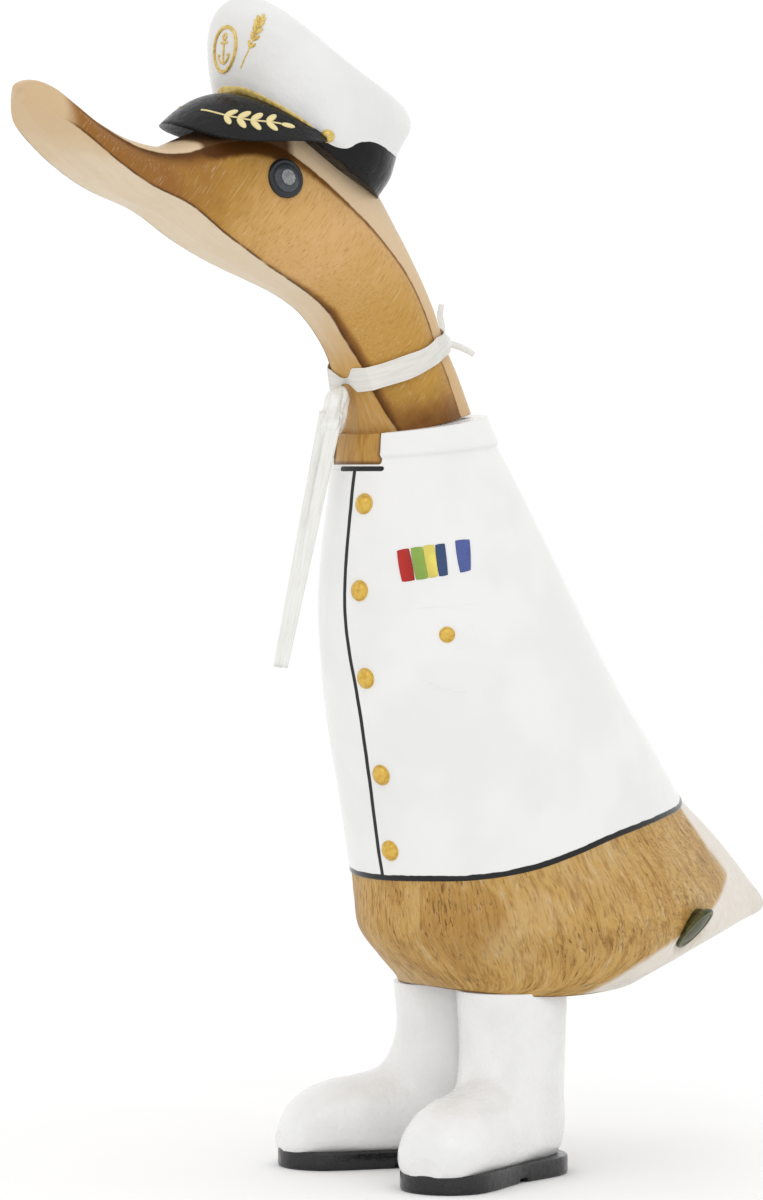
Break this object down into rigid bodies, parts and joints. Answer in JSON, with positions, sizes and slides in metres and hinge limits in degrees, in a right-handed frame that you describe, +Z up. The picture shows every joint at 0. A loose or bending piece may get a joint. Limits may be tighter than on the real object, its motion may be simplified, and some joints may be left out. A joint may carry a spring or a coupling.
{
  "type": "carved duck figurine",
  "caption": "Carved wooden duck in a white officer's coat, peaked cap and boots, standing upright with a ribbon round its neck.",
  "frame": {"origin": "centre of the figure's bounding box at the level its soles stand on", "axes": "+Z up, the bill points along -Y, the duck's left side is +X"},
  "size_m": [0.0814, 0.2382, 0.2986],
  "materials": {
    "carved_wood": "clear satin lacquer, white gloss paint on the coat",
    "cap_paint": "white and black gloss paint",
    "boot_paint": "white gloss paint, black sole",
    "eye": "gloss",
    "stud": "dark patina",
    "button": "polished",
    "ribbon": "satin weave"
  },
  "bodies": {
    "root": {"duck_body": "carved_wood", "cap": "cap_paint", "boot_left": "boot_paint", "boot_right": "boot_paint", "eye_left": "eye", "eye_right": "eye", "tail_stud": "stud", "coat_button_1": "button", "coat_button_2": "button", "coat_button_3": "button", "coat_button_4": "button", "coat_button_5": "button", "pocket_button": "button", "neck_ribbon": "ribbon", "ribbon_tail": "ribbon"}
  },
  "joints": []
}
